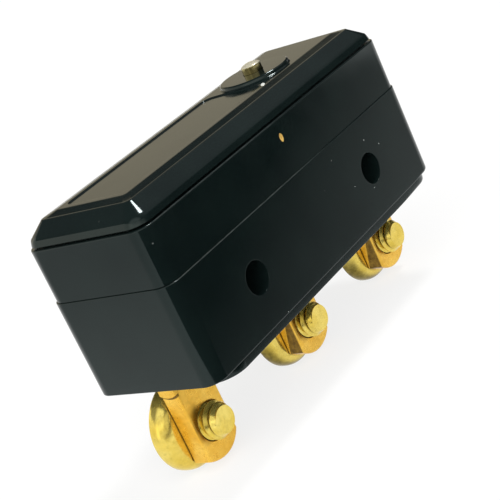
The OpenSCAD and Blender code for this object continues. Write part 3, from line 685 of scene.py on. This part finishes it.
# Materials
class Surface:
    """A Principled material, with short names for the nodes that the materials share."""

    def __init__(self, name, base, roughness, metallic=0.0, **sockets):
        self.mat = bpy.data.materials.new(name)
        self.mat.use_nodes = True
        self.nodes, self.links = self.mat.node_tree.nodes, self.mat.node_tree.links
        self.shader = self.nodes["Principled BSDF"]
        self.shader.inputs["Metallic"].default_value = metallic
        self.shader.inputs["Base Color"].default_value = (*base, 1)
        self.shader.inputs["Roughness"].default_value = roughness
        for key, value in sockets.items():
            self.shader.inputs[key.replace("_", " ")].default_value = value
        self.place = self.nodes.new("ShaderNodeTexCoord").outputs["Object"]

    def scaled(self, x, y, z):
        node = self.nodes.new("ShaderNodeMapping")
        node.inputs["Scale"].default_value = (x, y, z)
        self.links.new(self.place, node.inputs["Vector"])
        return node.outputs["Vector"]

    def noise(self, scale, detail=3.0, rough=0.5, vector=None):
        node = self.nodes.new("ShaderNodeTexNoise")
        node.inputs["Scale"].default_value = scale
        node.inputs["Detail"].default_value = detail
        node.inputs["Roughness"].default_value = rough
        self.links.new(vector or self.place, node.inputs["Vector"])
        return node.outputs["Fac"]

    def cells(self, scale):
        node = self.nodes.new("ShaderNodeTexVoronoi")
        node.inputs["Scale"].default_value = scale
        self.links.new(self.place, node.inputs["Vector"])
        return node.outputs["Distance"]

    def ramp(self, fac, *stops):
        node = self.nodes.new("ShaderNodeValToRGB")
        items = node.color_ramp.elements
        while len(items) < len(stops):
            items.new(0.5)
        for item, (pos, colour) in zip(items, stops):
            item.position = pos
            item.color = (*colour, 1) if isinstance(colour, tuple) else (colour, colour, colour, 1)
        self.links.new(fac, node.inputs["Fac"])
        return node.outputs["Color"]

    def mix(self, fac, a, b):
        node = self.nodes.new("ShaderNodeMix")
        node.data_type = "RGBA"
        for value, socket in ((fac, node.inputs[0]), (a, node.inputs[6]), (b, node.inputs[7])):
            if isinstance(value, bpy.types.NodeSocket):
                self.links.new(value, socket)
            else:
                socket.default_value = (*value, 1)
        return node.outputs[2]

    def math(self, kind, *values):
        node = self.nodes.new("ShaderNodeMath")
        node.operation = kind
        for value, socket in zip(values, node.inputs):
            if isinstance(value, bpy.types.NodeSocket):
                self.links.new(value, socket)
            else:
                socket.default_value = value
        return node.outputs[0]

    def plus(self, a, b):
        return self.math("ADD", a, b)

    def minus(self, a, b):
        return self.math("SUBTRACT", a, b)

    def times(self, a, *shares):
        for share in shares:
            a = self.math("MULTIPLY", a, share)
        return a

    def over(self, a, b):
        return self.math("DIVIDE", a, b)

    def above(self, a, b):
        return self.math("GREATER_THAN", a, b)

    def below(self, a, b):
        return self.math("LESS_THAN", a, b)

    def largest(self, a, *shares):
        for share in shares:
            a = self.math("MAXIMUM", a, share)
        return a

    def length(self, a, b):
        return self.math("SQRT", self.plus(self.times(a, a), self.times(b, b)))

    def rise(self, value, start, end):
        """0 to 1 as a value goes from start to end."""
        node = self.nodes.new("ShaderNodeMapRange")
        node.interpolation_type = "SMOOTHSTEP"
        node.inputs["From Min"].default_value = start
        node.inputs["From Max"].default_value = end
        self.links.new(value, node.inputs["Value"])
        return node.outputs["Result"]

    def fade(self, value, span):
        """0 to 1 as a length goes through a span in millimetres."""
        return self.rise(value, span[0] * MM, span[1] * MM)

    def corners(self, reach):
        """1 in the open and towards 0 in hollow corners, within a reach in millimetres."""
        node = self.nodes.new("ShaderNodeAmbientOcclusion")
        node.samples = 8
        node.inputs["Distance"].default_value = reach * MM
        return node.outputs["AO"]

    def axis(self, name, start=0.0):
        """One coordinate of the place on the object, in metres, from a start in millimetres."""
        node = self.nodes.new("ShaderNodeSeparateXYZ")
        self.links.new(self.place, node.inputs[0])
        return self.minus(node.outputs[name], start * MM) if start else node.outputs[name]

    def across_terminal(self):
        """Coordinate along the case from about the nearest terminal's middle, in metres."""
        return self.math("WRAP", self.axis("X"), WAY_PITCH / 2 * MM, -WAY_PITCH / 2 * MM)

    def colour(self, out):
        self.links.new(out, self.shader.inputs["Base Color"])

    def roughness(self, out):
        self.links.new(out, self.shader.inputs["Roughness"])

    def bump(self, out, strength):
        node = self.nodes.new("ShaderNodeBump")
        node.inputs["Strength"].default_value = strength
        node.inputs["Distance"].default_value = BUMP_DEPTH * MM
        self.links.new(out, node.inputs["Height"])
        self.links.new(node.outputs["Normal"], self.shader.inputs["Normal"])


def painted_glint(g):
    """Share of the painted white glint on the cover's panel, a reflection of the lamp painted into the
    colour.
    """
    cos, sin = math.cos(math.radians(GLINT_TURN)), math.sin(math.radians(GLINT_TURN))
    x, y = g.axis("X", GLINT_X), g.axis("Y", GLINT_Y)
    along = g.plus(g.times(x, cos), g.times(y, sin))
    aside = g.minus(g.times(y, cos), g.times(x, sin))
    reach = g.length(g.over(along, GLINT_LONG * MM), g.over(aside, GLINT_WIDE * MM))
    reach = g.plus(reach, g.times(g.noise(1800, 2), 0.5))
    return g.times(g.rise(reach, 1.3, 1.1), g.above(g.axis("Z"), (PANEL_Z - 0.1) * MM))


def paint_dab(g):
    """Share of the dab of paint on the upper housing's front."""
    across = g.over(g.axis("X", PAINT_X), PAINT_HALF_X * MM)
    upward = g.over(g.axis("Z", PAINT_Z), PAINT_HALF_Z * MM)
    reach = g.plus(g.times(across, across), g.times(upward, upward))
    reach = g.plus(reach, g.times(g.noise(2600, 2), 0.7))
    return g.times(g.below(reach, 1.35), g.below(g.axis("Y"), FRONT_Y * MM))


def front_specks_and_highlights(g):
    """Share of pale marks on the front: painted highlights along two edges, and specks of dust."""
    front = g.fade(g.axis("Y"), (FRONT_Y + FRONT_FADE, FRONT_Y))
    specks_and_highlights = []
    # Painted highlights along the parting line and along the upper housing's top edge
    for low, high, start, full, depth in EDGE_HIGHLIGHTS:
        line = g.times(g.above(g.axis("Z"), low * MM), g.below(g.axis("Z"), high * MM))
        highlight = g.ramp(g.noise(700, 4, 0.7), (0.35, 0.25 * depth), (0.7, depth))
        specks_and_highlights.append(g.times(front, line, g.fade(g.axis("X"), (start, full)), highlight))
    for x, z, r in SPECKS:
        away = g.length(g.axis("X", x), g.axis("Z", z))
        specks_and_highlights.append(g.times(front, g.fade(away, (r, 0.4 * r))))
    return g.largest(*specks_and_highlights)


def case_material():
    """Glossy black with sparse dust, pale specks, painted highlights along two edges, a dab of gold paint
    and a painted white glint on the cover.
    """
    g = Surface("case black", (0.004, 0.008, 0.008), 0.12, IOR=1.41, Specular_Tint=(0.84, 1.0, 0.99, 1.0))
    tone = g.ramp(g.noise(140, 4), (0.3, (0.003, 0.006, 0.006)), (0.75, (0.005, 0.0095, 0.009)))
    grains = g.ramp(g.cells(420), (0.0, 1.0), (0.035, 1.0), (0.05, 0.0))
    dust = g.times(grains, g.ramp(g.noise(900, 2), (0.6, 0.0), (0.66, 0.5)))
    tone = g.mix(dust, tone, (0.30, 0.31, 0.28))
    # Pale specks of dust, and painted highlights along two edges
    tone = g.mix(front_specks_and_highlights(g), tone, (0.34, 0.37, 0.36))
    # Painted white glint on the panel, standing in for a reflection of the lamp
    tone = g.mix(painted_glint(g), tone, (0.88, 0.90, 0.86))
    dab = paint_dab(g)
    gold = g.ramp(g.noise(3000, 3), (0.35, (0.34, 0.19, 0.03)), (0.65, (0.72, 0.45, 0.10)))
    g.colour(g.mix(dab, tone, gold))
    gloss = g.ramp(g.noise(220, 5, 0.6), (0.3, 0.08), (0.7, 0.15))
    g.roughness(g.mix(dab, gloss, (0.4, 0.4, 0.4)))
    g.bump(g.noise(1500, 3), 0.02)
    return g.mat


def shaded_rim(g):
    """Share of painted shade on the lower rims of the two washers that lie under the case."""
    height = g.axis("Z", SCREW_Z)
    rim = g.fade(g.length(g.across_terminal(), height), RIM_SHADE_R)
    return g.times(rim, g.fade(height, RIM_SHADE_Z), g.fade(g.axis("X"), SHADE_X))


def shaded_edge(g):
    """Share of painted shade beside the screws and on the cut edges of two plates, and of a dark line under
    the stakes.
    """
    x, y, z = g.across_terminal(), g.axis("Y"), g.axis("Z")
    slant = g.plus(y, g.times(z, EDGE_SLANT))
    edge = g.times(g.fade(x, EDGE_SHADE_X), g.fade(y, EDGE_SHADE_Y), g.fade(slant, EDGE_SHADE_END),
                   g.fade(g.axis("X"), SHADE_X))
    away = g.length(g.minus(x, SCREW_SHADOW_X * MM), g.axis("Z", SCREW_SHADOW_Z))
    patch = g.times(g.fade(away, SCREW_SHADOW_R), g.fade(x, SCREW_SHADOW_SIDE), g.fade(y, SCREW_SHADOW_FRONT), SCREW_SHADOW_STRENGTH)
    moon = g.length(y, g.axis("Z", STAKE_Z))
    under_stake = g.times(g.fade(moon, UNDER_STAKE_START), g.fade(moon, UNDER_STAKE_END), g.below(z, FOOT_Z * MM),
                   g.above(g.math("ABSOLUTE", x), UNDER_STAKE_X * MM))
    return g.largest(edge, under_stake, patch)


def brass_material(name, pale, deep, shade, corner_shade, rough, streak, metallic, shaded):
    """Satin metal with blotches and spots, fine streaks, painted shade in hollow corners, and painted shade
    where it lies in shadow or mirrors dark surroundings.
    """
    low, high = rough
    g = Surface(name, pale, low, metallic=metallic)
    metal = g.ramp(g.noise(420, 4, 0.6), (0.35, deep), (0.62, pale))
    spots = g.ramp(g.noise(2200, 3, 0.6), (0.5, 0.0), (0.72, 0.45))
    metal = g.mix(spots, metal, tuple(c * 0.7 for c in deep))
    fine = g.noise(1.0, 3, 0.6, g.scaled(*streak))
    metal = g.mix(g.ramp(fine, (0.35, 0.0), (0.75, 0.3)), metal, tuple(c * 0.75 for c in deep))
    # Painted shade where the brass lies in shadow or mirrors dark things
    painted_shade = g.times(shaded(g), g.ramp(g.noise(1500, 3), (0.3, 0.7), (0.7, 0.95)))
    metal = g.mix(painted_shade, metal, shade)
    # Painted shade in hollow corners, darker where ambient occlusion is low
    g.colour(g.mix(g.ramp(g.corners(0.4), (0.4, 0.85), (0.85, 0.0)), metal, corner_shade))
    g.roughness(g.ramp(g.noise(700, 4, 0.65), (0.3, low), (0.7, high)))
    g.bump(g.plus(g.times(fine, 0.5), g.noise(1800, 3)), 0.1)
    return g.mat


def plain_material(name, one, two, rough, metallic, scale):
    """Surface that wavers between two tones, for the pieces inside the case."""
    low, high = rough
    g = Surface(name, one, low, metallic=metallic)
    g.colour(g.ramp(g.noise(scale, 4), (0.3, one), (0.7, two)))
    g.roughness(g.ramp(g.noise(scale * 2, 3), (0.3, low), (0.7, high)))
    g.bump(g.noise(scale * 4, 2), 0.08)
    return g.mat


def pin_material():
    """Turned pin with a warm side and a pale, duller tip; the side's dark tone and its vertical streaks are
    painted shade and reflections, and the tip's pale colour is painted light.
    """
    g = Surface("pin nickel", (0.74, 0.60, 0.26), 0.15, metallic=1.0)
    tip = g.fade(g.axis("Z"), PIN_TIP)
    fine = g.noise(1.0, 3, 0.6, g.scaled(900, 900, 60))
    # Dark tone of the side with vertical streaks: painted shade and painted reflections
    side = g.ramp(fine, (0.35, (0.15, 0.125, 0.045)), (0.65, (0.36, 0.315, 0.14)))
    # Pale colour of the tip: painted light on the pin's top
    g.colour(g.mix(tip, side, (0.60, 0.56, 0.43)))
    g.roughness(g.mix(tip, g.ramp(g.noise(500, 3), (0.3, 0.12), (0.7, 0.2)), (0.3, 0.3, 0.3)))
    g.links.new(g.minus(1.0, g.times(tip, 0.6)), g.shader.inputs["Metallic"])
    return g.mat


MATERIALS = {
    "case_black": case_material(),
    # In both brass materials the shade colours and the colours for hollow corners are painted shade
    "terminal_brass": brass_material(
        "terminal brass", pale=(0.96, 0.61, 0.10), deep=(0.86, 0.48, 0.05), shade=(0.07, 0.035, 0.006),
        corner_shade=(0.20, 0.09, 0.015), rough=(0.22, 0.36), streak=(300, 300, 2600), metallic=0.8,
        shaded=shaded_edge),
    "screw_brass": brass_material(
        "screw brass", pale=(0.90, 0.72, 0.18), deep=(0.79, 0.58, 0.09), shade=(0.11, 0.082, 0.012),
        corner_shade=(0.06, 0.04, 0.008), rough=(0.14, 0.27), streak=(1500, 1500, 1500), metallic=0.85,
        shaded=shaded_rim),
    "pin_nickel": pin_material(),
    "button_phenolic": plain_material(
        "button phenolic", (0.16, 0.07, 0.03), (0.22, 0.10, 0.05), (0.4, 0.55), metallic=0.0, scale=600),
    "blade_copper": plain_material(
        "blade copper", (0.80, 0.46, 0.24), (0.68, 0.36, 0.17), (0.22, 0.35), metallic=1.0, scale=500),
    "contact_silver": plain_material(
        "contact silver", (0.86, 0.86, 0.85), (0.74, 0.74, 0.72), (0.22, 0.38), metallic=1.0, scale=900),
}


# The part
def place(obj, body, slot, *nodes):
    """Give a piece its material and its body, in place of CAD nodes."""
    obj.data.materials.clear()
    obj.data.materials.append(MATERIALS[slot])
    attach(obj, body)
    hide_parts(*nodes)


place(base_housing(), "case", "case_black", "base_housing")
place(upper_housing(), "case", "case_black", "upper_housing")
place(top_cover(), "case", "case_black", "top_cover")
place(plunger_pin(), "plunger", "pin_nickel", "plunger_pin")
plates = {"common": common_plate(), "normally_open": normally_open_plate(),
          "normally_closed": normally_closed_plate()}
for way, plate in plates.items():
    place(plate, "case", "terminal_brass", way + "_terminal")
    washer = cup_washer(way + "_cup", TERMINALS[way])
    place(washer, way + "_clamp", "screw_brass", way + "_cup_washer")
    screw = terminal_screw(way + "_binding_screw", TERMINALS[way], SLOT_TURN[way])
    place(screw, way + "_driver", "screw_brass", way + "_screw")
for entry in frame["record"]["subparts"]:
    node = frame["nodes"][entry["node"]]
    node.data.materials.clear()
    node.data.materials.append(MATERIALS[entry["material_slot"]])


# Stage
def sheet(name, outline, drop):
    """Flat sheet a little below the object's lowest point."""
    s = Shell()
    z = cad_box[0][2] / MM - drop
    s.bm.faces.new(s.ring([(x, y, z) for x, y in outline]))
    obj = s.build(name)
    obj.modifiers.clear()
    return obj


def floor_material():
    """Pale floor that is mostly plain white to the eye and in gloss."""
    pale = (0.93, 0.93, 0.92)
    g = Surface("pale floor", pale, 0.9)
    g.colour(g.ramp(g.noise(6, 2), (0.3, pale), (0.7, tuple(min(c * 1.01, 1) for c in pale))))
    paths = g.nodes.new("ShaderNodeLightPath")
    white = g.nodes.new("ShaderNodeEmission")
    join = g.nodes.new("ShaderNodeMixShader")
    seen = g.largest(paths.outputs["Is Camera Ray"], paths.outputs["Is Glossy Ray"])
    g.links.new(g.times(seen, FLOOR_WHITE), join.inputs[0])
    g.links.new(g.shader.outputs[0], join.inputs[1])
    g.links.new(white.outputs[0], join.inputs[2])
    g.links.new(join.outputs[0], g.nodes["Material Output"].inputs["Surface"])
    return g.mat


def floor():
    reach = FLOOR_REACH
    obj = sheet("floor", ((reach, reach), (-reach, reach), (-reach, -reach), (reach, -reach)), FLOOR_DROP)
    obj.data.materials.append(floor_material())


def shade_sheet(name, outline, along, start, span, dark, pale):
    """Sheet lying on the floor that only gloss sees, going from one tone to another along a direction; its
    darker tones are painted shade seen in reflections.
    """
    obj = sheet(name, outline, SHADE_SHEET_DROP)
    g = Surface(name, (0.5, 0.5, 0.5), 1.0, Specular_IOR_Level=0.0)
    way_along = g.plus(g.times(g.axis("X"), along[0]), g.times(g.axis("Y"), along[1]))
    g.colour(g.ramp(g.over(g.minus(way_along, start * MM), span * MM), (0.0, dark), (1.0, pale)))
    obj.data.materials.append(g.mat)
    obj.visible_camera = obj.visible_diffuse = obj.visible_shadow = False


class Sky:
    """World nodes that paint soft patches by direction."""

    def __init__(self):
        world = bpy.data.worlds.new("studio")
        bpy.context.scene.world = world
        world.use_nodes = True
        self.nodes, self.links = world.node_tree.nodes, world.node_tree.links
        self.view = self.nodes.new("ShaderNodeTexCoord").outputs["Generated"]
        self.ground = self.nodes["Background"]

    def towards(self, direction, start, end):
        """0 to 1 as the view turns towards a direction, between two cosines."""
        dot = self.nodes.new("ShaderNodeVectorMath")
        dot.operation = "DOT_PRODUCT"
        dot.inputs[1].default_value = Vector(direction).normalized()
        self.links.new(self.view, dot.inputs[0])
        span = self.nodes.new("ShaderNodeMapRange")
        span.interpolation_type = "SMOOTHSTEP"
        span.inputs["From Min"].default_value = start
        span.inputs["From Max"].default_value = end
        self.links.new(dot.outputs["Value"], span.inputs["Value"])
        return span.outputs["Result"]

    def height(self, start, end):
        """0 to 1 as the view's height goes from start to end."""
        return self.towards((0, 0, 1), start, end)

    def product(self, a, b):
        node = self.nodes.new("ShaderNodeMath")
        node.operation = "MULTIPLY"
        self.links.new(a, node.inputs[0])
        self.links.new(b, node.inputs[1])
        return node.outputs[0]

    def add(self, total, share, colour):
        """The total so far plus a colour times a share."""
        node = self.nodes.new("ShaderNodeVectorMath")
        node.operation = "MULTIPLY_ADD"
        node.inputs[1].default_value = colour
        self.links.new(share, node.inputs[0])
        if isinstance(total, bpy.types.NodeSocket):
            self.links.new(total, node.inputs[2])
        else:
            node.inputs[2].default_value = total
        return node.outputs["Vector"]


def studio_world():
    """Dark room with a warm wall behind the object, pale walls behind the camera and on its left, a dim
    ceiling that is paler towards the right, and a pale patch above the camera."""
    sky = Sky()
    low = sky.height(0.46, 0.36)
    ceiling = sky.height(0.45, 0.65)
    back_wall = sky.product(sky.towards((0.489, 0.847, 0.208), 0.80, 0.87), low)
    near_wall = sky.product(sky.towards((-0.75, -0.65, 0.1), 0.5, 0.8), low)
    left_wall = sky.product(sky.towards((-0.72, 0.69, 0.1), 0.45, 0.75), sky.height(0.58, 0.52))
    right_ceiling = sky.product(sky.towards((0.70, -0.30, 0.65), 0.7, 0.95), ceiling)
    patch = sky.towards((-0.62, -0.40, 0.68), 0.80, 0.93)
    total = (0.04, 0.044, 0.044)
    total = sky.add(total, back_wall, (0.50, 0.44, 0.31))
    total = sky.add(total, near_wall, (0.70, 0.68, 0.62))
    total = sky.add(total, left_wall, (0.95, 0.92, 0.83))
    total = sky.add(total, ceiling, (0.10, 0.105, 0.105))
    total = sky.add(total, right_ceiling, (0.16, 0.165, 0.17))
    total = sky.add(total, patch, (0.75, 0.74, 0.70))
    sky.links.new(total, sky.ground.inputs["Color"])
    sky.ground.inputs["Strength"].default_value = 1.0


def lamp(name, energy, spread, source, mirrored):
    """Distant lamp that shines from a direction over a spread in degrees, seen in gloss or not."""
    sun = bpy.data.lights.new(name, "SUN")
    sun.energy = energy
    sun.angle = math.radians(spread)
    obj = bpy.data.objects.new(name, sun)
    bpy.context.scene.collection.objects.link(obj)
    obj.rotation_euler = Vector(source).to_track_quat("Z", "Y").to_euler()
    obj.visible_glossy = mirrored


floor()
# Painted shade in reflections: a dark sheet in front, for a shadow on the floor there, and a dimmer sheet on
# the left
shade_sheet("front card", FRONT_SHADE_SHEET, along=(0.427, 0.904), start=-35, span=42, dark=0.0, pale=0.6)
shade_sheet("side card", SIDE_SHADE_SHEET, along=(0.733, -0.68), start=-110, span=75, dark=0.5, pale=0.8)
studio_world()
lamp("soft key light", energy=2.3, spread=60, source=(-0.62, -0.45, 0.64), mirrored=False)
lamp("ceiling lamp", energy=1.5, spread=12, source=(0.38, -0.17, 0.91), mirrored=True)

# Camera at the photograph's view
RIGHT = Vector((0.5201, -0.7532, -0.4027))
DOWN = Vector((-0.4867, 0.1261, -0.8644))
AHEAD = Vector((0.7019, 0.6456, -0.3010))
EYE = Vector((-110.52, -99.37, 45.14)) * MM
FOCAL_PIXELS, IMAGE_PIXELS = 1367.8, 500
view = bpy.data.cameras.new("camera")
view.sensor_fit = "HORIZONTAL"
view.sensor_width = 36
view.lens = FOCAL_PIXELS * view.sensor_width / IMAGE_PIXELS
view.clip_start, view.clip_end = 0.01, 20
camera = bpy.data.objects.new("camera", view)
bpy.context.scene.collection.objects.link(camera)
turn = Matrix((RIGHT, -DOWN, -AHEAD)).transposed().to_4x4()
camera.matrix_world = Matrix.Translation(EYE) @ turn
bpy.context.scene.camera = camera
bpy.context.scene.view_settings.view_transform = "Standard"
